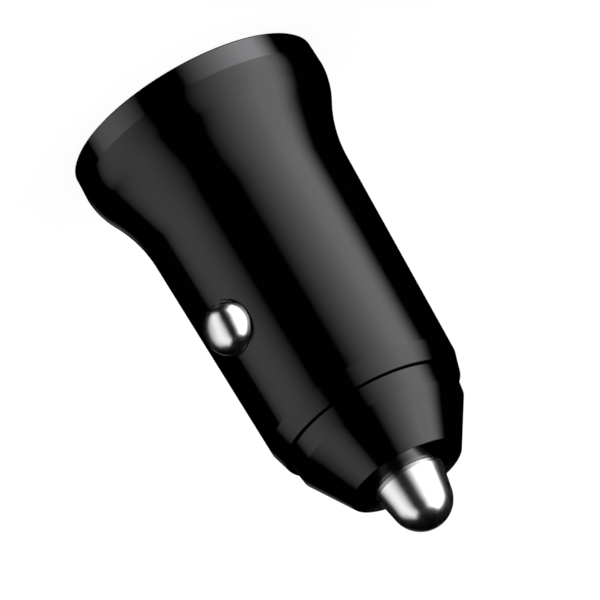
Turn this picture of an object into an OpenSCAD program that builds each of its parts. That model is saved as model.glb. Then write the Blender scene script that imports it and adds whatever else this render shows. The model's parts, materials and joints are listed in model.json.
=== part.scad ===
// A 12 V accessory plug with two USB sockets in its head. It stands on the rim of its socket end,
// with the centre contact up along +Z and the two side contacts on +X and -X. Millimetres.

/* [Head] */
// Diameter at the line where the rim band ends
head_d = 25.84; // [25.4:0.02:30]
// How much the rim band narrows down to the rim, a side
rim_taper = 0.095; // [0:0.005:0.3]
// Height of the rim band
band_h = 2.46; // [1.5:0.02:3.5]
// Angle at which the rounded shoulder leaves the band, degrees
band_break = 2.5; // [0:0.5:6]
// Radius of the head's rounded shoulder, in profile
shoulder_r = 7.2; // [5:0.1:9]
// Radius of the hollow sweep from the shoulder into the barrel, in profile
sweep_r = 14.9; // [11:0.1:18]
// Wall of the head's pocket, at the rim
head_wall = 1.8; // [1.4:0.1:2.2]
// Depth of the head's pocket, down to its first ledge
pocket_h = 4.6; // [4:0.1:5.2]

/* [Barrel] */
// Diameter where the head's sweep runs into the barrel
neck_d = 21.04; // [20.6:0.02:21.2]
// Draft of the barrel, degrees a side
barrel_draft = 1.29; // [0.8:0.05:1.6]
// Height of the bevel at the housing's end
bevel_h = 1.96; // [1:0.02:2.4]
// Slope of that bevel against the axis, degrees
bevel_slope = 15.3; // [8:0.5:20]
// Wall of the barrel
wall = 1.25; // [1:0.05:1.5]

/* [Nose cap] */
// Diameter of the cap where it meets the housing
cap_d = 18; // [17:0.1:18.6]
// Height of the cap's skirt, from the seam to the shoulder
skirt_h = 2.08; // [1.4:0.02:3]
// Diameter at that shoulder
cap_shoulder_d = 17.48; // [16.5:0.02:17.8]
// Height of the cap above the seam, up to the edge of its end
cap_h = 6.83; // [6.4:0.01:8]
// Diameter of the cap's end
nose_d = 11.98; // [11:0.02:13]
// How much that end rises from its edge to the contact's hole
nose_rise = 0.4; // [0.2:0.05:0.6]
// Thickness of the cap's end, at its edge
nose_wall = 1.6; // [1.2:0.1:2]
// How far the cap's spigot reaches into the housing
spigot_h = 2.8; // [2:0.1:3.4]
// Wall of the spigot
spigot_wall = 1.3; // [1:0.1:1.5]

/* [Centre contact] */
// Diameter of the shank where it leaves the cap
pin_d = 7.12; // [6:0.02:7.6]
// How far the contact stands out beyond the edge of the cap's end
pin_out = 5.9; // [4.5:0.1:7]
// Length of its shank that shows before it narrows
shank_out = 0.46; // [0.1:0.02:1]
// Radius of the contact's round tip
tip_r = 3.15; // [2.6:0.05:3.2]
// How far the contact can be pressed in
pin_travel = 2; // [1:0.1:2.2]
// Diameter of the flange that keeps it in the cap
pin_flange_d = 9.4; // [8.6:0.1:9.8]
// Outer diameter of the spring behind it
centre_spring_d = 6; // [5:0.1:6.6]
// Wire of that spring
centre_wire = 0.5; // [0.35:0.05:0.6]

/* [Side contacts] */
// Diameter of the contact button
button_d = 5.44; // [4.4:0.02:5.6]
// Height of the button's dome
dome_h = 2.42; // [1.6:0.02:2.6]
// How full the dome's profile is: 2 is half an ellipse, more has steeper sides and a flatter top
dome_power = 2.4; // [2:0.05:3]
// Travel of the button when it is pressed in
button_travel = 2; // [1.2:0.1:2.2]
// How far the dome still stands out when it is pressed in
button_left = 0.26; // [0.1:0.02:0.5]
// Gap round the button in its hole
button_gap = 0.08; // [0.05:0.01:0.1]
// Diameter of the flange that keeps it in the barrel
button_flange_d = 6.8; // [6.6:0.1:7]
// Outer diameter of the spring behind it
side_spring_d = 4.2; // [3.8:0.1:4.6]
// Wire of that spring
side_wire = 0.35; // [0.25:0.05:0.4]

/* [USB sockets] */
// Width of a socket's shell
usb_w = 13.1; // [12.9:0.05:13.3]
// Height of a socket's shell
usb_h = 5.72; // [5.6:0.02:5.8]
// Length of a socket's shell
usb_l = 10; // [9.4:0.1:10.4]
// Thickness of the shell's sheet
usb_t = 0.3; // [0.25:0.05:0.35]
// Gap at each end of the tongue, to the shell
tongue_gap = 0.7; // [0.5:0.05:0.9]
// Thickness of the tongue
tongue_t = 1.84; // [1.7:0.02:1.9]

/* [Port plate] */
// How deep the plate lies in the rim
plate_inset = 0.5; // [0.3:0.1:0.8]
// Thickness of the plate
plate_t = 1.4; // [1.2:0.1:1.6]
// Wall of the skirt behind the plate
plate_skirt_t = 0.9; // [0.7:0.1:1]
// Diameter of the light window
light_d = 2.2; // [1.6:0.1:2.2]

/* [Board] */
// Thickness of the circuit board
board_t = 1.6; // [1.4:0.1:1.7]
// Gap from the board's edge to the narrow end of the barrel's bore
board_gap = 0.49; // [0.4:0.01:0.6]
// Width of the board's tail in the front holder
tail_w = 12; // [11:0.5:12.5]
// Thickness of the front holder
holder_t = 1.8; // [1.4:0.1:2]
// Diameter of the power inductor
inductor_d = 7.8; // [6.5:0.1:8]
// Height of the power inductor
inductor_h = 4.5; // [3.5:0.1:5]
// Diameter of the input capacitor's can
can_d = 6.3; // [5.5:0.1:6.5]
// Length of that can
can_l = 7.4; // [6.5:0.1:7.6]
// Diameter of the output capacitor
out_can_d = 4; // [3.5:0.1:4.2]
// Height of the output capacitor
out_can_h = 5.4; // [4.5:0.1:5.6]
// Length of the converter chip
chip_l = 4.6; // [4:0.1:5.2]
// Width of the converter chip
chip_w = 3.9; // [3.5:0.1:4]
// Height of the converter chip
chip_h = 1.55; // [1.2:0.05:1.8]
// Length of the rectifier diode
diode_l = 4; // [3.4:0.1:4.4]
// Width of the rectifier diode
diode_w = 2.6; // [2:0.1:2.8]
// Height of the rectifier diode
diode_h = 2.1; // [1.5:0.1:2.3]
// Length of the small chips
small_chip_l = 1.6; // [1.2:0.1:1.8]
// Gap between the sockets and the parts above them
socket_gap = 1.3; // [1.2:0.1:4]
// Gap between those parts and the ground tabs
tab_gap = 1.5; // [1.5:0.1:3]
// Gap between the ground tabs and the converter chip
chip_gap = 0.2; // [0.2:0.1:3]
// Length of the board's fuse
fuse_l = 6.1; // [5:0.1:6.3]
// Width of the board's fuse
fuse_w = 2.3; // [1.8:0.1:2.5]

/* [Fits] */
// Clearance all round of a piece that slides
slide_fit = 0.06; // [0.04:0.01:0.1]
// Clearance all round of a piece that is pushed in and stays
seat_fit = 0.05; // [0.03:0.01:0.1]

/* [Hidden] */
$fn = 96;
more = 0.5;            // how far a cut runs past the face it opens
arc_steps = 20;        // straight strips in each rounded stretch of a profile
dome_steps = 32;       // strips in the profile of a bright dome

// Heights above the rim, one after another: sockets, inductor, side contacts, chip, holder, seam
usb_z = plate_inset;
usb_end = usb_z + usb_l;
tab_w = 5;
lead_room = 0.2;
parts_z = usb_end + socket_gap + max(inductor_d, can_l + lead_room);
side_z = parts_z + tab_gap + tab_w / 2;
shoulder_z = side_z + tab_w / 2 + chip_gap + chip_l;
tail_z = shoulder_z + 0.3;
lip_z = tail_z + holder_t;
housing_h = lip_z + 0.4 + spigot_h;

// The head and barrel in profile
head_r = head_d / 2;
rim_r = head_r - rim_taper;
neck_r = neck_d / 2;
rim_edge = 0.15;
flare_cos = (shoulder_r * cos(band_break) + sweep_r * cos(barrel_draft) - (head_r - neck_r))
            / (shoulder_r + sweep_r);
flare_slope = acos(flare_cos);
neck_z = band_h + shoulder_r * (sin(flare_slope) - sin(band_break))
         + sweep_r * (sin(flare_slope) - sin(barrel_draft));
bevel_z = housing_h - bevel_h;
bevel_r = barrel_r(bevel_z);
end_r = bevel_r - bevel_h * tan(bevel_slope);

// The inside of the housing: the head's pocket, a middle step, the barrel's bore and the nose lip
pocket_r = rim_r - head_wall;
step_r = pocket_r - 0.9;
step_h = 1.8;
step_z = pocket_h + step_h;
spigot_r = end_r - 1.45;
lip_r = spigot_r + seat_fit;
rib_t = 0.8;
rib_grip = 0.49;
rib_gap = board_t / 2 + 0.1;

// Circuit board
board_z = plate_inset + plate_t + 0.5;
board_edge = barrel_r(lip_z) - wall - board_gap;
face_x = board_t / 2;
notch_y = usb_w / 2 + 0.3;
notch_top = board_z + 3.5;

// Sockets: one on each face of the board, with their mouths flush with the plate
usb_x = face_x + usb_h / 2;
usb_corner = 0.6;
usb_back = 2.1;
tongue_w = usb_w - 2 * usb_t - 2 * tongue_gap;
window_fit = 0.1;
socket_fit = 0.15;
pad_w = 1;
pad_t = 0.2;
pad_places = [-3.5, -1, 1, 3.5];
tongue_x = 0.62;
groove_deep = 0.1;

// Port plate and light pipe
plate_r = pocket_r - seat_fit;
light_y = usb_w / 2 + 1.65;
light_flange_r = light_d / 2 + 0.35;
light_flange_t = 0.6;
light_end = notch_top - 0.4;
led = [0.7, 1.6, 0.8];
led_y = light_y - 0.6;
led_z = light_end + 0.8;

// Nose cap and centre contact
cap_top = housing_h + cap_h;
cap_cavity_r = spigot_r - spigot_wall;
cap_throat_r = pin_flange_d / 2 + 0.35;
cap_inner_top = cap_top - nose_wall;
shank_r = pin_d / 2;
pin_hole_r = shank_r + slide_fit;
pin_top = cap_top + pin_out;
pin_taper = 10.5;
shank_z = cap_top + nose_rise + shank_out;
flange_t = 0.75;
flange_top = cap_inner_top - 0.06;
flange_z = flange_top - flange_t;
terminal_z = lip_z + 0.05;
terminal_t = 0.4;
terminal_r = centre_spring_d / 2 + 0.4;
leg_w = 2;
leg_t = 0.3;

// Side contacts
barrel_side_r = barrel_r(side_z);
button_r = button_d / 2;
button_flange_r = button_flange_d / 2;
button_seat_r = barrel_r(side_z + button_flange_r) - wall - slide_fit;
button_back = button_seat_r - 1.4;
dome_x = barrel_side_r + button_travel + button_left - dome_h;
tab_t = 0.3;
tab_x = face_x + tab_t;
boss_h = 0.8;

// Parts on the board
inductor_z = parts_z - inductor_d / 2;
inductor_flange = 0.9;
inductor_post_r = inductor_d * 0.225;
can_z = parts_z - lead_room - can_l;
out_can_y = board_edge - 4.9;
out_can_z = shoulder_z - out_can_d / 2;
chip_z = shoulder_z - chip_l / 2;
chip_y = 4.7 - board_edge;
small_parts_y = board_edge - 2.1;
small_chip_y = board_edge - 1.9;

// Radius of the barrel's outside at a height
function barrel_r(z) = neck_r - (z - neck_z) * tan(barrel_draft);

// Points on an arc: centre, radius, first and last angle
function arc(cx, cy, r, from, to) =
    [for (i = [0 : arc_steps]) let (a = from + (to - from) * i / arc_steps) [cx + r * cos(a), cy + r * sin(a)]];

// Points up a dome's profile, from an angle above its foot to its top, r wide and h high from y
function dome(y, r, h, from, power = 2) =
    [for (i = [0 : dome_steps]) let (a = from + (90 - from) * i / dome_steps)
        [r * pow(cos(a), 2 / power), y + h * pow(sin(a), 2 / power)]];

// Height of a spring's wire after a share of its turns: a closed coil at each end, open ones between
function coil_lift(turn, turns, length, wire) =
    let (closed = wire * 1.06, open = (length - wire - 2 * closed) / (turns - 2))
    turn < 1 ? turn * closed
    : turn > turns - 1 ? length - wire - (turns - turn) * closed
    : closed + (turn - 1) * open;

// Turns a piece made for +X about the axis, to lie on the side given as 1 or -1
module on_side(side) {
    rotate([0, 0, side > 0 ? 0 : 180]) children();
}

// A plate of the given size that stands on the board's +X face, centred at y and z
module on_board(size, y, z) {
    translate([face_x, y - size[1] / 2, z - size[2] / 2]) cube(size);
}

// A compression spring along +Z, from its lowest to its highest point
module spring(outer_d, wire, turns, length) {
    steps = 18;
    sides = 6;
    mean_r = (outer_d - wire) / 2;
    rings = steps * turns;
    points = [
        for (i = [0 : rings], k = [0 : sides - 1])
            let (turn = i / steps, a = 360 * turn, b = 360 * k / sides,
                 r = mean_r + wire / 2 * cos(b),
                 z = wire / 2 * (1 + sin(b)) + coil_lift(turn, turns, length, wire))
            [r * cos(a), r * sin(a), z]
    ];
    walls = [
        for (i = [0 : rings - 1], k = [0 : sides - 1])
            let (j = i * sides, n = (k + 1) % sides)
            [j + k, j + sides + k, j + sides + n, j + n]
    ];
    first_end = [for (k = [0 : sides - 1]) k];
    last_end = [for (k = [sides - 1 : -1 : 0]) rings * sides + k];
    polyhedron(points, concat(walls, [first_end, last_end]), convexity = 10);
}

// A USB socket's outline, wide along Y, centred on the axis
module usb_outline(grow) {
    w = usb_w / 2 + grow;
    h = usb_h / 2 + grow;
    r = usb_corner + grow;
    square([2 * h, 2 * (w - r)], center = true);
    square([2 * (h - r), 2 * w], center = true);
    for (sx = [-1, 1], sy = [-1, 1])
        translate([sx * (h - r), sy * (w - r)]) circle(r, $fn = 24);
}

module housing() {
    inner_top = barrel_r(lip_z) - wall;
    inner_low = barrel_r(step_z) - wall;
    rib_in = board_edge - rib_grip;
    rib_out = bevel_r - 0.7;
    rib_z = usb_end + 0.7;
    outside = concat(
        [[0, 0], [rim_r - rim_edge, 0], [rim_r, rim_edge]],
        arc(head_r - shoulder_r * cos(band_break), band_h - shoulder_r * sin(band_break),
            shoulder_r, band_break, flare_slope),
        arc(neck_r + sweep_r * cos(barrel_draft), neck_z + sweep_r * sin(barrel_draft),
            sweep_r, 180 + flare_slope, 180 + barrel_draft),
        [[bevel_r, bevel_z], [end_r, housing_h], [0, housing_h]]);
    inside = [[0, -more], [pocket_r, -more], [pocket_r, pocket_h], [step_r, pocket_h],
              [step_r, step_z], [inner_low, step_z], [inner_top, lip_z], [lip_r, lip_z],
              [lip_r, housing_h + more], [0, housing_h + more]];
    color("#141416") difference() {
        union() {
            difference() {
                rotate_extrude() polygon(outside);
                rotate_extrude() polygon(inside);
            }
            // Ribs that the board's edges slide between
            for (sx = [-1, 1], sy = [-1, 1])
                translate([sx * (rib_gap + rib_t / 2) - rib_t / 2, sy > 0 ? rib_in : -rib_out, rib_z])
                    cube([rib_t, rib_out - rib_in, shoulder_z - rib_z]);
        }
        // Room for the sockets, the light pipe and the light, where the bore is too narrow for them
        for (side = [-1, 1])
            translate([side * usb_x, 0, -more]) linear_extrude(usb_end + 2 * more) usb_outline(socket_fit);
        translate([0, light_y, -more]) cylinder(r = light_flange_r + socket_fit, h = notch_top + more);
        on_board([for (side = led) side + 2 * socket_fit], led_y, led_z);
        // Holes for the side contacts
        translate([0, 0, side_z]) rotate([0, 90, 0])
            cylinder(r = button_r + button_gap, h = 2 * head_r, center = true);
    }
}

module port_plate() {
    color("#1a1a1c") difference() {
        union() {
            translate([0, 0, plate_inset]) cylinder(r = plate_r, h = plate_t);
            translate([0, 0, plate_inset]) difference() {
                cylinder(r = plate_r, h = pocket_h - plate_inset);
                translate([0, 0, plate_t]) cylinder(r = plate_r - plate_skirt_t, h = pocket_h);
            }
        }
        for (side = [-1, 1])
            translate([side * usb_x, 0, plate_inset - more])
                linear_extrude(pocket_h + more) usb_outline(window_fit);
        translate([0, light_y, plate_inset - more]) cylinder(r = light_d / 2 + seat_fit, h = plate_t + 2 * more);
        translate([0, light_y, plate_inset + plate_t]) cylinder(r = light_flange_r + socket_fit, h = pocket_h);
    }
}

module light_pipe() {
    back_z = plate_inset + plate_t;
    color("#dfe6ee") translate([0, light_y, 0]) {
        translate([0, 0, plate_inset]) cylinder(r = light_d / 2, h = light_end - plate_inset);
        translate([0, 0, back_z]) cylinder(r = light_flange_r, h = light_flange_t);
    }
}

module nose_cap() {
    shoulder_r_cap = cap_shoulder_d / 2;
    shoulder_top = housing_h + skirt_h;
    seam_line = 0.15;
    nose_edge = 0.04;
    outside = [[0, housing_h - spigot_h], [spigot_r - 0.2, housing_h - spigot_h],
               [spigot_r, housing_h - spigot_h + 0.4], [spigot_r, housing_h],
               [cap_d / 2 - seam_line, housing_h], [cap_d / 2, housing_h + seam_line],
               [shoulder_r_cap, shoulder_top], [nose_d / 2, cap_top - nose_edge],
               [nose_d / 2 - nose_edge, cap_top], [pin_hole_r, cap_top + nose_rise],
               [0, cap_top + nose_rise]];
    inside = [[0, housing_h - spigot_h - more], [cap_cavity_r, housing_h - spigot_h - more],
              [cap_cavity_r, shoulder_top - 0.5], [cap_throat_r, flange_z - pin_travel * 0.4],
              [cap_throat_r, cap_inner_top], [0, cap_inner_top]];
    color("#141416") difference() {
        rotate_extrude() polygon(outside);
        rotate_extrude() polygon(inside);
        translate([0, 0, cap_inner_top - more]) cylinder(r = pin_hole_r, h = nose_wall + nose_rise + 2 * more);
    }
}

module centre_contact() {
    profile = concat(
        [[0, flange_z - 1], [boss_r(centre_spring_d, centre_wire), flange_z - 1],
         [boss_r(centre_spring_d, centre_wire), flange_z], [pin_flange_d / 2, flange_z],
         [pin_flange_d / 2, flange_top], [shank_r, flange_top], [shank_r, shank_z]],
        dome(pin_top - tip_r, tip_r, tip_r, pin_taper));
    color("#d8dade") rotate_extrude() polygon(profile);
}

// Radius of a boss that fits inside a spring
function boss_r(outer_d, wire) = outer_d / 2 - wire - 0.15;

module centre_spring() {
    color("#b9bcc0") translate([0, 0, terminal_z + terminal_t])
        spring(centre_spring_d, centre_wire, 7, flange_z - terminal_z - terminal_t);
}

module positive_terminal() {
    color("#c9a24a") {
        translate([0, 0, terminal_z]) cylinder(r = terminal_r, h = terminal_t);
        translate([0, 0, terminal_z]) cylinder(r = boss_r(centre_spring_d, centre_wire), h = terminal_t + 0.8);
        for (side = [-1, 1]) on_side(side)
            translate([face_x, -leg_w / 2, tail_z - 0.6]) cube([leg_t, leg_w, terminal_z + terminal_t - tail_z + 0.6]);
    }
}

module front_holder() {
    slot_fit = 0.1;
    color("#2c3036") difference() {
        translate([0, 0, tail_z]) cylinder(r = barrel_r(lip_z) - wall - seat_fit, h = holder_t);
        translate([0, 0, tail_z + holder_t / 2])
            cube([board_t + 2 * slot_fit, tail_w + 2 * slot_fit, holder_t + 2 * more], center = true);
        translate([0, 0, tail_z + holder_t / 2])
            cube([board_t + 2 * leg_t + 2 * slot_fit, leg_w + 2 * slot_fit, holder_t + 2 * more], center = true);
    }
}

// A side contact on +X: a domed button on a flange that is curved to the barrel's bore
module side_contact() {
    boss = boss_r(side_spring_d, side_wire);
    turned = concat([[0, button_back - boss_h], [boss, button_back - boss_h], [boss, button_back],
                     [button_r, button_back]],
                    dome(dome_x, button_r, dome_h, 0, dome_power));
    translate([0, 0, side_z]) rotate([0, 90, 0]) rotate_extrude() polygon(turned);
    intersection() {
        translate([button_back, 0, side_z]) rotate([0, 90, 0]) cylinder(r = button_flange_r, h = 3);
        translate([0, 0, side_z - button_flange_d]) cylinder(r = button_seat_r, h = 2 * button_flange_d);
    }
}

module right_side_contact() {
    color("#dcdee2") on_side(1) side_contact();
}

module left_side_contact() {
    color("#dcdee2") on_side(-1) side_contact();
}

module side_spring() {
    translate([tab_x, 0, side_z]) rotate([0, 90, 0])
        spring(side_spring_d, side_wire, 6, button_back - tab_x);
}

module right_side_spring() {
    color("#b9bcc0") on_side(1) side_spring();
}

module left_side_spring() {
    color("#b9bcc0") on_side(-1) side_spring();
}

// A plate soldered to the board, with a boss that centres the side spring
module ground_tab() {
    on_board([tab_t, tab_w, tab_w], 0, side_z);
    translate([face_x, 0, side_z]) rotate([0, 90, 0])
        cylinder(r = boss_r(side_spring_d, side_wire), h = tab_t + boss_h);
}

module right_ground_tab() {
    color("#c4c6c8") on_side(1) ground_tab();
}

module left_ground_tab() {
    color("#c4c6c8") on_side(-1) ground_tab();
}

module main_board() {
    outline = [[-notch_y, board_z], [notch_y, board_z], [notch_y, notch_top], [board_edge, notch_top],
               [board_edge, shoulder_z], [tail_w / 2, shoulder_z], [tail_w / 2, lip_z],
               [-tail_w / 2, lip_z], [-tail_w / 2, shoulder_z], [-board_edge, shoulder_z],
               [-board_edge, notch_top], [-notch_y, notch_top]];
    color("#1f5a3a") rotate([90, 0, 90]) linear_extrude(board_t, center = true) polygon(outline);
}

// A folded steel shell on +X, with two spring tabs cut in each wide face and feet on the board
module usb_shell() {
    tab = [usb_t + 2 * more, 2.2, 4.2];
    slit = 0.35;
    foot = [usb_t, 1.3, 2.2];
    difference() {
        translate([usb_x, 0, usb_z]) linear_extrude(usb_l) usb_outline(0);
        translate([usb_x, 0, usb_z - more]) linear_extrude(usb_l + 2 * more) usb_outline(-usb_t);
        for (face = [-1, 1], sy = [-1, 1])
            translate([usb_x + face * (usb_h - usb_t) / 2, sy * usb_w / 4, usb_z + 2])
                difference() {
                    translate([-tab[0] / 2, -tab[1] / 2 - slit, 0]) cube([tab[0], tab[1] + 2 * slit, tab[2] + slit]);
                    translate([-tab[0] / 2 - 1, -tab[1] / 2, -1]) cube([tab[0] + 2, tab[1], tab[2] + 1]);
                }
    }
    for (sy = [-1, 1])
        on_board(foot, sy * (usb_w / 2 + foot[1] / 2 - 0.3), usb_end - foot[2] / 2 - 0.3);
}

module right_usb_shell() {
    color("#c2c5ca") on_side(1) usb_shell();
}

module left_usb_shell() {
    color("#c2c5ca") on_side(-1) usb_shell();
}

// The moulded tongue on +X with its back block, and a groove for each contact
module usb_tongue() {
    block = [usb_h - 2 * usb_t - 2 * seat_fit, usb_w - 2 * usb_t - 2 * seat_fit, usb_back];
    under = usb_x + tongue_x - tongue_t / 2;
    difference() {
        union() {
            translate([usb_x - block[0] / 2, -block[1] / 2 + usb_corner, usb_end - usb_back])
                cube([block[0], block[1] - 2 * usb_corner, block[2]]);
            translate([usb_x - block[0] / 2 + usb_corner, -block[1] / 2, usb_end - usb_back])
                cube([block[0] - 2 * usb_corner, block[1], block[2]]);
            translate([under, -tongue_w / 2, usb_z + 1])
                cube([tongue_t, tongue_w, usb_l - 1.5]);
        }
        for (y = pad_places)
            translate([under - pad_t + groove_deep - 0.02, y - pad_w / 2 - 0.02, usb_z + 1.6])
                cube([pad_t + 0.02, pad_w + 0.04, usb_l]);
    }
}

module right_usb_tongue() {
    color("#e8e8ea") on_side(1) usb_tongue();
}

module left_usb_tongue() {
    color("#e8e8ea") on_side(-1) usb_tongue();
}

// Four bent strips on +X: along the tongue's face, out of the back block and down to the board
module usb_contacts() {
    under = usb_x + tongue_x - tongue_t / 2;
    strip_x = under - pad_t + groove_deep;
    foot_l = 0.9;
    leg_z = usb_end + 0.1;
    for (y = pad_places) {
        translate([strip_x, y - pad_w / 2, usb_z + (abs(y) > 2 ? 1.7 : 2.4)])
            cube([pad_t, pad_w, leg_z + pad_t - usb_z - (abs(y) > 2 ? 1.7 : 2.4)]);
        translate([face_x, y - pad_w / 2, leg_z]) cube([strip_x + pad_t - face_x, pad_w, pad_t]);
        translate([face_x, y - pad_w / 2, leg_z]) cube([pad_t, pad_w, foot_l]);
    }
}

module right_usb_contacts() {
    color("#d4b25c") on_side(1) usb_contacts();
}

module left_usb_contacts() {
    color("#d4b25c") on_side(-1) usb_contacts();
}

module indicator_led() {
    color("#f2f2e6") on_board(led, led_y, led_z);
}

// Drum core: two flanges and a post, standing on the board's +X face
module inductor_core() {
    color("#3a3a3e") translate([face_x, 0, inductor_z]) rotate([0, 90, 0]) {
        cylinder(d = inductor_d, h = inductor_flange);
        cylinder(r = inductor_post_r, h = inductor_h);
        translate([0, 0, inductor_h - inductor_flange]) cylinder(d = inductor_d, h = inductor_flange);
    }
}

// The winding between the flanges, with the round of each turn on its outside
module inductor_coil() {
    wire = 0.45;
    room = inductor_h - 2 * inductor_flange;
    turns = floor(room / wire);
    pitch = room / turns;
    outer = inductor_d / 2 - 0.75;
    color("#b5642c") translate([face_x + inductor_flange, 0, inductor_z]) rotate([0, 90, 0])
        rotate_extrude() {
            translate([inductor_post_r, 0]) square([outer - inductor_post_r, room]);
            for (i = [0 : turns - 1])
                translate([outer, pitch * (i + 0.5)]) circle(pitch / 2, $fn = 24);
        }
}

// A can that lies on the board's -X face along the axis, with both leads bent into the board
module input_capacitor() {
    lift = can_d / 2 + 0.05;
    lead = 0.5;
    color("#2b3550") on_side(-1) {
        translate([face_x + lift, 0, can_z]) {
            cylinder(d = can_d, h = 1.1);
            translate([0, 0, 1]) cylinder(d = can_d - 0.5, h = 0.7);
            translate([0, 0, 1.6]) cylinder(d = can_d, h = can_l - 1.6);
        }
        for (y = [-1.25, 1.25]) {
            translate([face_x + lift - lead / 2, y - lead / 2, can_z + can_l - 0.1])
                cube([lead, lead, 0.8]);
            translate([face_x, y - lead / 2, can_z + can_l + 0.2]) cube([lift + lead / 2, lead, lead]);
        }
    }
}

// A surface-mount can that stands on the board's +X face, on a square base with cut corners
module output_capacitor() {
    base = out_can_d + 0.2;
    corner = 0.8;
    half = base / 2;
    color("#b8bcc2") translate([face_x, out_can_y, out_can_z - 0.2]) rotate([0, 90, 0]) {
        linear_extrude(0.8) polygon([[-half, -half], [half - corner, -half], [half, -half + corner],
                                     [half, half - corner], [half - corner, half], [-half, half]]);
        cylinder(d = out_can_d, h = 1.4);
        cylinder(d = out_can_d - 0.5, h = 2);
        translate([0, 0, 1.8]) cylinder(d = out_can_d, h = out_can_h - 1.8);
    }
}

// A flat package on the board's +X face with a row of bent leads on each long side
module flat_package(body, pairs, pitch, span, y, z) {
    lead_w = 0.4;
    on_board([body[0] - 0.1, body[1], body[2]], y, z);
    translate([0.1, 0, 0]) on_board([body[0] - 0.1, body[1] - 0.3, body[2] - 0.3], y, z);
    for (i = [0 : pairs - 1], sy = [-1, 1]) {
        lead_z = z + (i - (pairs - 1) / 2) * pitch;
        knee = body[1] / 2 - 0.2;
        run = span / 2 - knee;
        on_board([0.18, run, lead_w], y + sy * (knee + run / 2), lead_z);
    }
}

module converter_chip() {
    pitch = (chip_l - 1) / 3;
    color("#1c1c1e") on_side(-1) flat_package([chip_h, chip_w, chip_l], 4, pitch, chip_w + 2.1, chip_y, chip_z);
}

module port_controller() {
    color("#1c1c1e") on_side(-1) flat_package([1.1, 1.6, 2.9], 3, 0.95, 2.8, small_parts_y, side_z);
}

module rectifier_diode() {
    color("#232326") on_side(1) {
        on_board([diode_h, diode_w, diode_l], small_parts_y, side_z);
        on_board([0.35, diode_w - 1.1, diode_l + 1], small_parts_y, side_z);
    }
}

// A square fuse with a wider metal cap on each end
module board_fuse() {
    cap_l = 1.4;
    color("#d9d4c4") on_side(1) {
        on_board([fuse_w - 0.3, fuse_w - 0.3, fuse_l - 0.4], -small_parts_y, side_z);
        for (end = [-1, 1])
            on_board([fuse_w - 0.1, fuse_w, cap_l], -small_parts_y, side_z + end * (fuse_l - cap_l) / 2);
    }
}

// Places of the small chips, each as face of the board, edge of the board and distance below parts_z
resistor_places = [[1, 1, 1.1], [1, 1, 3.6], [1, -1, 2.1], [-1, 1, 0.9], [-1, -1, 1.6], [-1, -1, 4.1]];
capacitor_places = [[1, -1, 4.6], [1, 1, 6.1], [-1, 1, 3.1], [-1, 1, 5.6], [-1, -1, 6.6]];

module chip_row(places, size) {
    for (p = places)
        on_side(p[0]) on_board(size, p[0] * p[1] * small_chip_y, parts_z - p[2]);
}

module chip_resistors() {
    color("#26262a") chip_row(resistor_places, [0.45, small_chip_l / 2, small_chip_l]);
}

module chip_capacitors() {
    color("#b59a74") chip_row(capacitor_places, [0.8, small_chip_l / 2 + 0.05, small_chip_l]);
}

housing();
port_plate();
light_pipe();
nose_cap();
centre_contact();
centre_spring();
positive_terminal();
front_holder();
right_side_contact();
left_side_contact();
right_side_spring();
left_side_spring();
right_ground_tab();
left_ground_tab();
main_board();
right_usb_shell();
left_usb_shell();
right_usb_tongue();
left_usb_tongue();
right_usb_contacts();
left_usb_contacts();
indicator_led();
inductor_core();
inductor_coil();
input_capacitor();
output_capacitor();
converter_chip();
port_controller();
rectifier_diode();
board_fuse();
chip_resistors();
chip_capacitors();
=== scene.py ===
import bpy
import bmesh
import json
import math
from mathutils import Matrix, Vector


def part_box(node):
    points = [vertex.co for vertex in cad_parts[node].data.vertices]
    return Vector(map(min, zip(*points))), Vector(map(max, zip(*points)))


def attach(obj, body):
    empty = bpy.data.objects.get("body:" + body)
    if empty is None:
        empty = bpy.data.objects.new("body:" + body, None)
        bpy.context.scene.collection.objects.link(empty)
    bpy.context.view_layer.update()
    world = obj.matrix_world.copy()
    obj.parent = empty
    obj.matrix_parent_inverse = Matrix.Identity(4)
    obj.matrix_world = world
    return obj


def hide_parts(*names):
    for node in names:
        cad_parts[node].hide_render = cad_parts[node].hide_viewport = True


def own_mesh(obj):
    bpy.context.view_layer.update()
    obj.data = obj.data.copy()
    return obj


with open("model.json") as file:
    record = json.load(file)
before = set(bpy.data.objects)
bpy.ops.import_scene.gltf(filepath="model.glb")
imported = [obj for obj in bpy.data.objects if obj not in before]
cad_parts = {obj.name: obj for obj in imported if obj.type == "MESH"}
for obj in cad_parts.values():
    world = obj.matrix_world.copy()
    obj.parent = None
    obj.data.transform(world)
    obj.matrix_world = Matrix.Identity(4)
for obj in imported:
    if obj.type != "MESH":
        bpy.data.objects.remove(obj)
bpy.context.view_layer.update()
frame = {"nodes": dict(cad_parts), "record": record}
record = frame["record"]
mm = 0.001
print("frame loaded:", len(frame["nodes"]), "pieces")


# Shader nodes

seam = {"whole": 4.4, "none": 6.0}   # degrees off the true normal: all mended below one, none past the other


class Wire:   # a socket, so that shader maths reads as plain expressions
    def __init__(self, graph, socket):
        self.graph = graph
        self.socket = socket

    def maths(self, operation, *values):
        return self.graph.add("ShaderNodeMath", {"operation": operation}, values)

    def __add__(self, other):
        return self.maths("ADD", self, other)

    def __radd__(self, other):
        return self.maths("ADD", other, self)

    def __sub__(self, other):
        return self.maths("SUBTRACT", self, other)

    def __rsub__(self, other):
        return self.maths("SUBTRACT", other, self)

    def __mul__(self, other):
        return self.maths("MULTIPLY", self, other)

    def __rmul__(self, other):
        return self.maths("MULTIPLY", other, self)

    def __truediv__(self, other):
        return self.maths("DIVIDE", self, other)

    def __pow__(self, other):
        return self.maths("POWER", self, other)

    def __abs__(self):
        return self.maths("ABSOLUTE", self)


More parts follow.
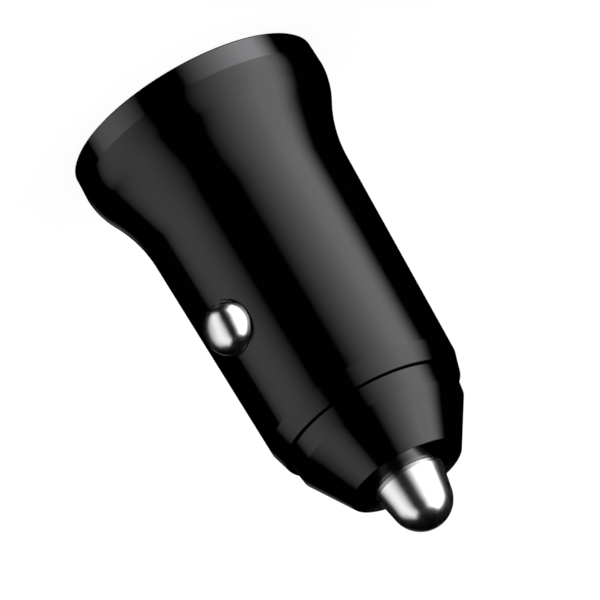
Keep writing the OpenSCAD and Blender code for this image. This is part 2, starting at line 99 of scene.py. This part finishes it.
class Graph:   # the node tree of a material or of the world
    def __init__(self, owner):
        owner.use_nodes = True
        self.tree = owner.node_tree
        self.tree.nodes.clear()

    def node(self, kind, settings, values):
        made = self.tree.nodes.new(kind)
        for name, value in settings.items():
            if name == "stops":
                self.setStops(made.color_ramp, value)
            else:
                setattr(made, name, value)
        pairs = values.items() if isinstance(values, dict) else enumerate(values)
        for key, value in pairs:
            if isinstance(value, Wire):
                self.tree.links.new(value.socket, made.inputs[key])
            else:
                made.inputs[key].default_value = value
        return made

    def add(self, kind, settings, values, output=0):
        return Wire(self, self.node(kind, settings, values).outputs[output])

    def setStops(self, ramp, stops):
        while len(ramp.elements) > 1:
            ramp.elements.remove(ramp.elements[-1])
        for index, (place, colour) in enumerate(stops):
            stop = ramp.elements[0] if index == 0 else ramp.elements.new(place)
            stop.position = place
            stop.color = colour

    def split(self, vector):
        parts = self.node("ShaderNodeSeparateXYZ", {}, [vector])
        return [Wire(self, out) for out in parts.outputs]

    def join(self, x, y, z):
        return self.add("ShaderNodeCombineXYZ", {}, [x, y, z])

    def scaled(self, vector, x, y, z):
        return self.add("ShaderNodeVectorMath", {"operation": "MULTIPLY"}, [vector, (x, y, z)])

    def inMm(self):   # the piece's own coordinates in millimetres
        point = self.add("ShaderNodeTexCoord", {}, {}, "Object")
        return self.scaled(point, 1000, 1000, 1000)

    def noise(self, vector, scale, detail=3.0, rough=0.55):
        values = {"Vector": vector, "Scale": scale, "Detail": detail, "Roughness": rough}
        return self.add("ShaderNodeTexNoise", {}, values)

    def cells(self, vector, scale, output="Distance"):
        return self.add("ShaderNodeTexVoronoi", {}, {"Vector": vector, "Scale": scale}, output)

    def band(self, value, low, high, to0=0.0, to1=1.0):   # a soft step from low to high
        values = {0: value, 1: low, 2: high, 3: to0, 4: to1}
        return self.add("ShaderNodeMapRange", {"interpolation_type": "SMOOTHSTEP"}, values)

    def ramp(self, value, low, high):   # a straight rise from 0 to 1
        return self.add("ShaderNodeMapRange", {}, {0: value, 1: low, 2: high})

    def mix(self, mask, first, second):
        values = {0: mask, 6: first, 7: second}
        return self.add("ShaderNodeMix", {"data_type": "RGBA"}, values, 2)

    def vector(self, operation, *values, output=0):
        return self.add("ShaderNodeVectorMath", {"operation": operation}, values, output)

    def turnedNormal(self, x, y):   # on walls turned about z, straight away from z, so that no seam shows
        normal = self.add("ShaderNodeTexCoord", {}, {}, "Normal")
        away = self.vector("NORMALIZE", self.join(x, y, 0.0))
        along = self.split(normal)[2]
        level = (1.0 - along * along) ** 0.5
        agree = self.vector("DOT_PRODUCT", normal, away, output=1) / level
        low, high = [math.cos(math.radians(seam[name])) for name in ("none", "whole")]
        outside = self.band(agree, low, high)
        turned = self.vector("MULTIPLY", away, self.join(level, level, 0.0))
        turned = self.vector("ADD", turned, self.join(0.0, 0.0, along))
        chosen = self.add("ShaderNodeMix", {"data_type": "VECTOR"}, {0: outside, 4: normal, 5: turned}, 1)
        settings = {"vector_type": "NORMAL", "convert_from": "OBJECT", "convert_to": "WORLD"}
        return self.add("ShaderNodeVectorTransform", settings, [chosen])

    def surface(self, fixed, varying, height=None, depth=0.0, strength=1.0, normal=None):
        shader = self.node("ShaderNodeBsdfPrincipled", {}, {**fixed, **varying})
        if height is not None:
            values = {"Strength": strength, "Distance": depth * mm, "Height": height}
            if normal is not None:
                values["Normal"] = normal
            bump = self.add("ShaderNodeBump", {}, values)
            self.tree.links.new(bump.socket, shader.inputs["Normal"])
        self.node("ShaderNodeOutputMaterial", {}, [Wire(self, shader.outputs[0])])


def rgb(red, green, blue):
    return (red, green, blue, 1.0)


def newMaterial(name):
    made = bpy.data.materials.new(name)
    return made, Graph(made)


# Camera: the photograph looks at the upright plug from above, and is rolled so that the plug lies on a
# diagonal

photoView = {
    "size": 600,              # pixels, both ways
    "mmPerPixel": 0.09525,
    "side": -46.0,            # degrees from +X, where the camera stands
    "above": 20.79,           # degrees
    "roll": 30.44,            # degrees between the plug's axis and the picture's upright
    "axisAcross": 3.06,       # pixels from the picture's centre to the plug's axis
    "rimAlong": 216.65,       # pixels from the picture's centre to the rim's centre, along the axis
    "distance": 1.6,          # metres
}


def addCamera(view):
    side = math.radians(view["side"])
    above = math.radians(view["above"])
    roll = math.radians(view["roll"])
    pixel = view["mmPerPixel"] * mm
    outward = Vector((math.cos(side), math.sin(side), 0))
    upright = Vector((0, 0, 1))
    toCamera = math.cos(above) * outward + math.sin(above) * upright
    across = Vector((math.sin(side), -math.cos(side), 0))
    along = math.cos(above) * upright - math.sin(above) * outward
    right = math.cos(roll) * across + math.sin(roll) * along
    up = math.sin(roll) * across - math.cos(roll) * along
    centre = -view["axisAcross"] * pixel * across + view["rimAlong"] * pixel * along
    data = bpy.data.cameras.new("camera")
    data.type = "ORTHO"
    data.ortho_scale = view["size"] * pixel
    data.clip_start = 0.01
    data.clip_end = 20
    camera = bpy.data.objects.new("camera", data)
    turn = Matrix((right, up, toCamera)).transposed()
    camera.matrix_world = Matrix.Translation(centre + view["distance"] * toCamera) @ turn.to_4x4()
    bpy.context.scene.collection.objects.link(camera)
    bpy.context.scene.camera = camera


addCamera(photoView)
print("camera placed")


# Studio: a white room, in which gloss alone sees two tall softboxes and the black cards between them.
# Directions are in degrees, round from the camera with the right positive, and up from the horizon.

studio = {
    "plain": 0.9,              # light on matt surfaces
    "tint": (0.965, 0.97, 1.0),
    "left": {                  # brightest in its middle
        "middle": -70.3,
        "half": 34.3,
        "light": 0.965,
        "waist": -57.0,        # the direction that its belly leaves in place
        "belly": 0.175,        # share by which it is wider at the widest height
        "taper": 0.14,         # share by which it narrows over the crown
        "head": (43.0, 56.0),  # heights over which it ends
    },
    "right": {                 # brighter from its inner to its outer edge
        "start": 4.6,
        "full": 63.5,
        "fade": 74.0,
        "end": 105.0,
        "light": 3.0,
        "waist": 80.0,
        "belly": 0.07,
        "lean": 7.0,           # how far its outer edge leans out over the crown
        "head": (50.5, 66.5),
    },
    "foot": (-62.0, -50.0),    # heights over which both begin
    "widest": 7.0,
    "reach": 28.0,             # how far the bellies go up and down from there
    "crown": (7.0, 24.0),
    "gap": {                   # pale floor seen between the black cards
        "middle": -172.0,
        "core": 4.0,
        "edge": 20.0,
        "light": 0.13,
        "foot": (-19.5, -14.0),
        "head": (-12.0, 15.0),
    },
    "floorSize": 2.0,          # metres
    "floorSeen": 0.88,
    "floorGrey": 0.16,         # the part of it that shadows darken
}
white = rgb(1, 1, 1)


def wrapped(angle):   # between -180 and 180 degrees
    raised = angle + 540.0
    return raised.maths("MODULO", raised, 360.0) - 180.0


def softboxes(g, s, around, rise):
    off = (rise - s["widest"]) / s["reach"]
    bulge = 1.0 - off * off
    bulge = bulge.maths("MAXIMUM", bulge, 0.0)
    crown = g.ramp(rise, *s["crown"])
    box = s["left"]
    width = bulge * box["belly"] + 1.0 - crown * box["taper"]
    away = ((around - box["waist"]) / width + box["waist"] - box["middle"]) / box["half"]
    glow = 1.0 - away * away
    left = glow.maths("MAXIMUM", glow, 0.0) * g.band(rise, *box["head"], box["light"], 0.0)
    box = s["right"]
    place = (around - box["waist"]) / (bulge * box["belly"] + 1.0) + box["waist"]
    leant = place - crown * box["lean"]
    right = g.ramp(place, box["start"], box["full"]) * g.band(leant, box["fade"], box["end"], 1.0, 0.0)
    right = right * g.band(rise, *box["head"], box["light"], 0.0)
    return (left + right) * g.band(rise, *s["foot"])


def paleGap(g, gap, bearing, rise):
    away = abs(wrapped(bearing - gap["middle"]))
    glow = g.band(away, gap["core"], gap["edge"], gap["light"], 0.0)
    return glow * g.band(rise, *gap["foot"]) * g.band(rise, *gap["head"], 1.0, 0.0)


def addWorld(s):
    world = bpy.data.worlds.new("studio")
    bpy.context.scene.world = world
    world.cycles.sampling_method = "NONE"
    g = Graph(world)
    direction = g.add("ShaderNodeTexCoord", {}, {}, "Generated")
    x, y, z = g.split(direction)
    angle = x.maths("ARCTAN2", y, x) * math.degrees(1)
    rise = z.maths("ARCSINE", z) * math.degrees(1)
    bearing = photoView["side"] - angle
    shine = softboxes(g, s, wrapped(bearing), rise) + paleGap(g, s["gap"], bearing, rise)
    cards = g.add("ShaderNodeBackground", {}, {"Color": rgb(*s["tint"]), "Strength": shine})
    plain = g.add("ShaderNodeBackground", {}, {"Color": white, "Strength": s["plain"]})
    seen = g.add("ShaderNodeBackground", {}, {"Color": white, "Strength": 1.0})
    path = g.node("ShaderNodeLightPath", {}, {})
    glossy = Wire(g, path.outputs["Is Glossy Ray"])
    straight = Wire(g, path.outputs["Is Camera Ray"]) + Wire(g, path.outputs["Is Transmission Ray"])
    lit = g.add("ShaderNodeMixShader", {}, [glossy, plain, cards])
    whole = g.add("ShaderNodeMixShader", {}, [straight, lit, seen])
    g.node("ShaderNodeOutputWorld", {}, [whole])


def addFloor(s):   # white from above and clear from below
    bpy.ops.mesh.primitive_plane_add(size=s["floorSize"])
    floor = bpy.context.object
    floor.name = "floor"
    floor.visible_glossy = False
    floor.visible_diffuse = False
    made, g = newMaterial("paleFloor")
    seen = g.add("ShaderNodeEmission", {}, {"Color": white, "Strength": s["floorSeen"]})
    grey = s["floorGrey"]
    matt = g.add("ShaderNodeBsdfDiffuse", {}, {"Color": rgb(grey, grey, grey)})
    clear = g.add("ShaderNodeBsdfTransparent", {}, {})
    both = g.add("ShaderNodeAddShader", {}, [seen, matt])
    under = g.add("ShaderNodeNewGeometry", {}, {}, "Backfacing")
    shown = g.add("ShaderNodeMixShader", {}, [under, both, clear])
    g.node("ShaderNodeOutputMaterial", {}, [shown])
    floor.data.materials.append(made)


addWorld(studio)
addFloor(studio)
bpy.context.scene.view_settings.view_transform = "Standard"
print("studio lit")


# Finishes

rimBand = {"top": 2.46, "coat": 0.66}   # mm above the rim: the band below shines more


def glossBlack(name):   # polished ABS with the faint waviness of a moulding
    made, g = newMaterial(name)
    point = g.inMm()
    x, y, z = g.split(point)
    cloud = g.noise(point, 0.35, 2.0)
    fine = g.noise(point, 9.0, 2.0)
    colour = g.mix(cloud, rgb(0.00015, 0.00015, 0.0002), rgb(0.0004, 0.0004, 0.00045))
    rough = 0.035 + 0.03 * cloud + 0.015 * fine
    wave = g.noise(point, 0.22, 1.0)
    band = g.band(z, rimBand["top"] - 0.02, rimBand["top"] + 0.02, rimBand["coat"], 0.0)
    varying = {"Base Color": colour, "Roughness": rough, "Coat Weight": band}
    g.surface({"IOR": 1.5, "Coat Roughness": 0.04}, varying, wave, 0.05, 0.1, g.turnedNormal(x, y))
    return made


def satinBlack(name):   # spark-eroded grain of the port plate
    made, g = newMaterial(name)
    point = g.inMm()
    grain = g.cells(point, 9.0)
    cloud = g.noise(point, 0.6, 3.0)
    colour = g.mix(cloud, rgb(0.006, 0.006, 0.007), rgb(0.011, 0.011, 0.012))
    rough = 0.36 + 0.1 * cloud + 0.08 * grain
    g.surface({"IOR": 1.5}, {"Base Color": colour, "Roughness": rough}, grain, 0.02, 0.45)
    return made


def brightNickel(name, alongZ):   # turned, then plated: faint rings about the piece's own axis
    made, g = newMaterial(name)
    point = g.inMm()
    x, y, z = g.split(point)
    cloud = g.noise(point, 0.8, 3.0)
    fine = g.noise(point, 6.0, 2.0)
    if alongZ:
        rings = g.noise(g.join(0.0, 0.0, z), 14.0, 2.0)
    else:
        rings = g.noise(g.join(abs(x), 0.0, 0.0), 14.0, 2.0)
    colour = g.mix(cloud, rgb(0.965, 0.945, 0.915), rgb(0.99, 0.972, 0.945))
    rough = 0.172 + 0.05 * cloud + 0.03 * rings + 0.02 * fine
    normal = g.turnedNormal(x, y) if alongZ else None
    g.surface({"Metallic": 1.0}, {"Base Color": colour, "Roughness": rough}, rings, 0.002, 0.15, normal)
    return made


def drawnSteel(name, dark, light, scale):   # wire and stamped sheet, with streaks and a cloudy plating
    made, g = newMaterial(name)
    point = g.inMm()
    streak = g.noise(g.scaled(point, 8.0, 8.0, 0.6), scale, 3.0)
    cloud = g.noise(point, 0.9, 3.0)
    colour = g.mix(cloud, dark, light)
    rough = 0.2 + 0.14 * streak + 0.08 * cloud
    g.surface({"Metallic": 1.0}, {"Base Color": colour, "Roughness": rough}, streak, 0.006, 0.3)
    return made


def mouldedPlastic(name, dark, light, grainScale, rough, depth):
    made, g = newMaterial(name)
    point = g.inMm()
    cloud = g.noise(point, 0.5, 3.0)
    grain = g.noise(point, grainScale, 2.0)
    colour = g.mix(cloud, dark, light)
    g.surface({"IOR": 1.5}, {"Base Color": colour, "Roughness": rough + 0.12 * grain}, grain, depth, 0.35)
    return made


def frostedPipe(name):
    made, g = newMaterial(name)
    point = g.inMm()
    frost = g.noise(point, 12.0, 2.0)
    colour = g.mix(frost, rgb(0.86, 0.89, 0.92), rgb(0.95, 0.97, 0.98))
    fixed = {"IOR": 1.49, "Transmission Weight": 0.75}
    g.surface(fixed, {"Base Color": colour, "Roughness": 0.2 + 0.2 * frost}, frost, 0.01, 0.3)
    return made


def solderMask(name):   # green lacquer over copper, with bare laminate at the cut edge
    made, g = newMaterial(name)
    point = g.inMm()
    x, y, z = g.split(point)
    flat = g.join(0.0, y, z)
    values = {"Vector": flat, "Scale": 0.42, "Randomness": 0.75}
    gap = g.add("ShaderNodeTexVoronoi", {"feature": "DISTANCE_TO_EDGE"}, values)   # between copper pours
    copper = g.band(gap, 0.035, 0.05)
    via = g.band(g.cells(flat, 0.75), 0.16, 0.2)
    weave = g.noise(g.scaled(point, 1.0, 9.0, 1.0), 3.0, 2.0)
    lacquer = g.mix(copper, rgb(0.006, 0.07, 0.03), rgb(0.012, 0.12, 0.05))
    green = g.mix(via, rgb(0.02, 0.17, 0.09), lacquer)
    edge = g.band(abs(x), 0.72, 0.76)
    colour = g.mix(edge, g.mix(weave, rgb(0.32, 0.3, 0.16), rgb(0.44, 0.4, 0.22)), green)
    height = copper * 0.6 + via * 0.3 + weave * 0.2
    g.surface({"IOR": 1.5}, {"Base Color": colour, "Roughness": 0.62 - 0.34 * edge}, height, 0.03, 0.4)
    return made


def moulded(name, lead, body, leadMask):   # a package: moulded body and tinned leads, told apart by the mask
    made, g = newMaterial(name)
    point = g.inMm()
    x, y, z = g.split(point)
    mask = leadMask(g, x, y, z)
    grain = g.noise(point, 11.0, 3.0)
    cloud = g.noise(point, 1.4, 3.0)
    colour = g.mix(mask, g.mix(cloud, body, [c * 1.5 for c in body[:3]] + [1.0]), lead)
    rough = 0.5 + 0.2 * grain - 0.24 * mask
    varying = {"Base Color": colour, "Roughness": rough, "Metallic": mask}
    g.surface({"IOR": 1.55}, varying, grain, 0.015, 0.4)
    return made


def windings(name):   # enamelled copper, with painted shade darkening the colour between the turns
    made, g = newMaterial(name)
    point = g.inMm()
    x = g.split(point)[0]
    turn = abs((x * 2.33).maths("FRACT", x * 2.33) - 0.5) * 2.0
    cloud = g.noise(point, 1.8, 3.0)
    # painted shade: the colour darkens where turn is low, between the turns, and is lighter on them
    colour = g.mix(turn * 0.6 + cloud * 0.4, rgb(0.42, 0.13, 0.05), rgb(0.72, 0.27, 0.12))
    fixed = {"Coat Weight": 0.5, "Coat Roughness": 0.1}
    varying = {"Base Color": colour, "Roughness": 0.25 + 0.15 * cloud, "Metallic": 0.85 + 0.1 * turn}
    g.surface(fixed, varying, cloud, 0.01, 0.3)
    return made


tin = rgb(0.75, 0.75, 0.74)
packageBlack = rgb(0.012, 0.012, 0.013)


def middle(node, axis):
    low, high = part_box(node)
    return (low[axis] + high[axis]) / 2 / mm


def sideLeads(node, bodyHalf):
    centre = middle(node, 1)
    return lambda g, x, y, z: g.band(abs(y - centre), bodyHalf, bodyHalf + 0.02)


def endCaps(node, capLength):
    low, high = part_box(node)
    centre = middle(node, 2)
    half = (high.z - low.z) / 2 / mm
    return lambda g, x, y, z: g.band(abs(z - centre), half - capLength, half - capLength + 0.03)


def upTo(height):   # metal nearer than this to the board's middle
    return lambda g, x, y, z: g.band(abs(x), height, height + 0.04, 1.0, 0.0)


def beyond(height):   # metal further than this from the board's middle
    return lambda g, x, y, z: g.band(abs(x), height, height + 0.04)


def canEnds(node):   # bare aluminium at the leads and at the vented end
    low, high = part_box(node)
    bottom = low.z / mm
    top = high.z / mm

    def ends(g, x, y, z):
        return g.band(z, bottom + 0.12, bottom + 0.16, 1.0, 0.0) + g.band(z, top - 1.0, top - 0.96)

    return ends


def dress(node, made):
    piece = frame["nodes"][node]
    for slot in piece.material_slots:
        slot.link = "OBJECT"
        slot.material = made


def addFinishes():
    for node in ("housing", "nose_cap"):
        dress(node, glossBlack(node + "Gloss"))
    dress("port_plate", satinBlack("plateGrain"))
    dress("light_pipe", frostedPipe("frostedPipe"))
    dress("centre_contact", brightNickel("pinNickel", True))
    nickel = brightNickel("buttonNickel", False)
    spring = drawnSteel("springSteel", rgb(0.5, 0.5, 0.51), rgb(0.68, 0.68, 0.69), 3.0)
    shell = drawnSteel("shellSteel", rgb(0.6, 0.6, 0.61), rgb(0.76, 0.76, 0.77), 2.0)
    tabs = drawnSteel("tabTin", rgb(0.62, 0.62, 0.61), rgb(0.78, 0.78, 0.76), 2.0)
    gold = drawnSteel("contactGold", rgb(0.86, 0.6, 0.26), rgb(0.97, 0.75, 0.4), 4.0)
    tongue = mouldedPlastic("tonguePlastic", rgb(0.7, 0.7, 0.69), rgb(0.8, 0.8, 0.79), 6.0, 0.32, 0.006)
    for side in ("right_", "left_"):
        dress(side + "side_contact", nickel)
        dress(side + "side_spring", spring)
        dress(side + "ground_tab", tabs)
        dress(side + "usb_shell", shell)
        dress(side + "usb_tongue", tongue)
        dress(side + "usb_contacts", gold)
    dress("centre_spring", spring)
    brass = drawnSteel("terminalBrass", rgb(0.72, 0.5, 0.2), rgb(0.86, 0.64, 0.3), 2.0)
    dress("positive_terminal", brass)
    holderDark = rgb(0.02, 0.022, 0.026)
    holderLight = rgb(0.032, 0.035, 0.04)
    dress("front_holder", mouldedPlastic("holderPlastic", holderDark, holderLight, 5.0, 0.4, 0.01))
    dress("main_board", solderMask("solderMask"))
    ferrite = mouldedPlastic("ferrite", rgb(0.03, 0.03, 0.032), rgb(0.055, 0.055, 0.058), 7.0, 0.55, 0.03)
    dress("inductor_core", ferrite)
    dress("inductor_coil", windings("enamelledCopper"))
    packages = {
        "indicator_led": ("ledBody", rgb(0.78, 0.77, 0.6), sideLeads("indicator_led", 0.55)),
        "input_capacitor": ("sleevedCan", rgb(0.02, 0.035, 0.09), canEnds("input_capacitor")),
        "output_capacitor": ("bareCan", packageBlack, beyond(1.66)),
        "converter_chip": ("converterPackage", packageBlack, sideLeads("converter_chip", 1.94)),
        "port_controller": ("controllerPackage", packageBlack, sideLeads("port_controller", 0.79)),
        "rectifier_diode": ("diodePackage", packageBlack, endCaps("rectifier_diode", 0.5)),
        "board_fuse": ("fuseCeramic", rgb(0.62, 0.58, 0.48), endCaps("board_fuse", 1.4)),
        "chip_resistors": ("resistorChips", packageBlack, upTo(0.82)),
        "chip_capacitors": ("capacitorChips", rgb(0.36, 0.24, 0.13), upTo(0.82)),
    }
    for node, (name, body, leads) in packages.items():
        dress(node, moulded(name, tin, body, leads))


addFinishes()
print("finishes applied")


# Pieces modelled here

creaseAngle = 40   # degrees, past which an edge stays sharp


def makePiece(name, mesh, made, body="plug"):
    mesh.normal_update()
    data = bpy.data.meshes.new(name)
    mesh.to_mesh(data)
    mesh.free()
    data.shade_smooth()
    data.set_sharp_from_angle(angle=math.radians(creaseAngle))
    data.materials.append(made)
    piece = bpy.data.objects.new(name, data)
    bpy.context.scene.collection.objects.link(piece)
    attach(piece, body)
    return piece


def smooth(value, low, high):
    share = min(max((value - low) / (high - low), 0.0), 1.0)
    return share * share * (3.0 - 2.0 * share)


def joinRings(mesh, rings):   # a closed skin over rings that have the same number of points
    for first, second in zip(rings, rings[1:]):
        for k in range(len(first)):
            n = (k + 1) % len(first)
            mesh.faces.new((first[k], first[n], second[n], second[k]))
    mesh.faces.new(list(reversed(rings[0])))
    mesh.faces.new(rings[-1])


def sweep(mesh, path, radius, sides):   # round wire along a path
    rings = []
    normal = (path[1] - path[0]).orthogonal()
    for index, point in enumerate(path):
        ahead = path[min(index + 1, len(path) - 1)]
        back = path[max(index - 1, 0)]
        tangent = (ahead - back).normalized()
        normal = (normal - normal.dot(tangent) * tangent).normalized()
        side = tangent.cross(normal)
        ring = []
        for k in range(sides):
            turn = 2 * math.pi * k / sides
            ring.append(mesh.verts.new(point + radius * (math.cos(turn) * normal + math.sin(turn) * side)))
        rings.append(ring)
    joinRings(mesh, rings)


# Springs: round wire with a closed turn at each end

springs = {
    "sides": 14,              # round the wire
    "steps": 30,              # along each turn
    "closedRise": 1.06,       # of a closed turn, in thicknesses of the wire
    "opens": (0.7, 1.3),      # turns from either end, over which the coil opens
    "centre_spring": {"joint": "centre_contact_press", "turns": 7, "wire": 0.5, "along": (0, 0, 1)},
    "right_side_spring": {"joint": "right_contact_press", "turns": 6, "wire": 0.35, "along": (1, 0, 0)},
    "left_side_spring": {"joint": "left_contact_press", "turns": 6, "wire": 0.35, "along": (-1, 0, 0)},
}


def travelOf(joint):   # how far a sliding joint goes, in metres
    limits = [row["range_m"] for row in record["behaviour"]["joints"] if row["name"] == joint]
    return limits[0][1] - limits[0][0]


def windSpring(node, made):
    kind = springs[node]
    low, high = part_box(node)
    along = Vector(kind["along"])
    across = Vector((0, 1, 0))
    third = along.cross(across)
    length = abs((high - low).dot(along))
    foot = (low + high) / 2 - along * length / 2
    wire = kind["wire"] * mm
    turns = kind["turns"]
    radius = (high.y - low.y) / 2 - wire / 2
    closed = wire * springs["closedRise"]
    steps = springs["steps"] * turns
    first, last = springs["opens"]
    opened = [0.0]
    for i in range(steps):
        turn = (i + 0.5) / springs["steps"]
        leaving = smooth(turn, first, last)
        arriving = smooth(turn, turns - last, turns - first)
        opened.append(opened[-1] + leaving * (1 - arriving))
    spare = length - wire - closed * turns
    path = []
    for i in range(steps + 1):
        turn = i / springs["steps"]
        lift = wire / 2 + closed * turn + spare * opened[i] / opened[-1]
        angle = 2 * math.pi * turn
        path.append(foot + along * lift + radius * (math.cos(angle) * across + math.sin(angle) * third))
    mesh = bmesh.new()
    sweep(mesh, path, wire / 2, springs["sides"])
    piece = makePiece(node + "_wire", mesh, made)
    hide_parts(node)
    keep = 1 - travelOf(kind["joint"]) / length
    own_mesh(piece)


def addSprings():
    made = drawnSteel("springWire", rgb(0.5, 0.5, 0.51), rgb(0.68, 0.68, 0.69), 3.0)
    for node in ("centre_spring", "right_side_spring", "left_side_spring"):
        windSpring(node, made)


addSprings()
print("springs wound")


# Solder: a hollow fillet round each foot on the board

solder = {
    "face": 0.8,              # mm from the board's middle to its face
    "spread": 0.32,
    "height": 0.24,
    "rings": 5,
    "corner": 5,              # points in each rounded corner
    "feet": {                 # how far from the face each node's feet show
        "right_ground_tab": 0.0, "left_ground_tab": 0.0, "right_usb_contacts": 0.0, "left_usb_contacts": 0.0,
        "positive_terminal": 0.0, "input_capacitor": 0.0, "right_usb_shell": 0.3, "left_usb_shell": 0.3,
        "converter_chip": 0.18, "port_controller": 0.18, "rectifier_diode": 0.35, "board_fuse": 2.2,
        "chip_resistors": 0.0, "chip_capacitors": 0.0, "indicator_led": 0.0,
    },
    # nodes tinned at their ends alone, and for what length
    "endsAlongZ": {"chip_resistors": 0.32, "chip_capacitors": 0.32},
    "endsAlongY": {"indicator_led": 0.25},
    "largest": 5.4,           # mm, a patch longer than this is no foot
    "least": 0.2,             # mm of a foot that must show below the holder
    "clear": 0.1,             # mm kept below the holder
    "tuck": 0.01,             # mm by which a fillet's top stands off its foot
    "flatness": 0.002,        # mm
}


def flatPatches(node, distance):   # boxes in y and z of the flat faces this far from the board's middle
    data = frame["nodes"][node].data
    flat = solder["flatness"] * mm
    group = {}

    def root(index):
        while group[index] != index:
            index = group[index]
        return index

    for face in data.polygons:
        corners = list(face.vertices)
        if all(abs(abs(data.vertices[v].co.x) - distance * mm) < flat for v in corners):
            for v in corners:
                group.setdefault(v, v)
            for v in corners[1:]:
                group[root(v)] = root(corners[0])
    boxes = {}
    for v in group:
        point = data.vertices[v].co
        box = boxes.setdefault(root(v), [1.0, -1.0, 1.0, -1.0, point.x])
        box[0] = min(box[0], point.y)
        box[1] = max(box[1], point.y)
        box[2] = min(box[2], point.z)
        box[3] = max(box[3], point.z)
    return list(boxes.values())


def addFillet(mesh, box, spread, height):
    y0, y1, z0, z1, x = box
    outward = 1 if x > 0 else -1
    face = outward * solder["face"] * mm
    rings = []
    for j in range(solder["rings"] + 1):
        share = math.radians(90) * j / solder["rings"]
        out = (spread * (1 - math.sin(share)) + solder["tuck"]) * mm
        up = height * (1 - math.cos(share)) * mm
        ring = []
        for cy, cz, start in ((y1, z1, 0), (y0, z1, 90), (y0, z0, 180), (y1, z0, 270)):
            for k in range(solder["corner"]):
                angle = math.radians(start + 90 * k / (solder["corner"] - 1))
                point = Vector((face + outward * up, cy + out * math.cos(angle), cz + out * math.sin(angle)))
                ring.append(mesh.verts.new(point))
        rings.append(ring)
    if outward < 0:
        rings.reverse()
    joinRings(mesh, rings)


def tinned(name):   # reflowed solder: bright, with soft dents
    made, g = newMaterial(name)
    point = g.inMm()
    dents = g.noise(point, 2.4, 2.0)
    cloud = g.noise(point, 5.0, 3.0)
    colour = g.mix(cloud, rgb(0.6, 0.6, 0.6), rgb(0.78, 0.78, 0.77))
    g.surface({"Metallic": 1.0}, {"Base Color": colour, "Roughness": 0.16 + 0.16 * cloud}, dents, 0.05, 0.4)
    return made


def addSolder():
    mesh = bmesh.new()
    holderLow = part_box("front_holder")[0].z
    for node, above in solder["feet"].items():
        for box in flatPatches(node, solder["face"] + above):
            y0, y1, z0, z1, x = box
            if max(y1 - y0, z1 - z0) > solder["largest"] * mm:
                continue
            if z0 < holderLow < z1:
                z1 = holderLow - solder["clear"] * mm
            if z1 - z0 < solder["least"] * mm:
                continue
            if node in solder["endsAlongZ"]:
                end = solder["endsAlongZ"][node] * mm
                spots = [(y0, y1, z0, z0 + end, x), (y0, y1, z1 - end, z1, x)]
            elif node in solder["endsAlongY"]:
                end = solder["endsAlongY"][node] * mm
                spots = [(y0, y0 + end, z0, z1, x), (y1 - end, y1, z0, z1, x)]
            else:
                spots = [(y0, y1, z0, z1, x)]
            for spot in spots:
                small = min(1.0, (spot[1] - spot[0]) / mm, (spot[3] - spot[2]) / mm + 0.3)
                addFillet(mesh, spot, solder["spread"] * small, solder["height"])
    bmesh.ops.recalc_face_normals(mesh, faces=mesh.faces)
    print("solder faces:", len(mesh.faces))
    makePiece("board_solder", mesh, tinned("reflowedSolder"))


addSolder()
print("solder added")
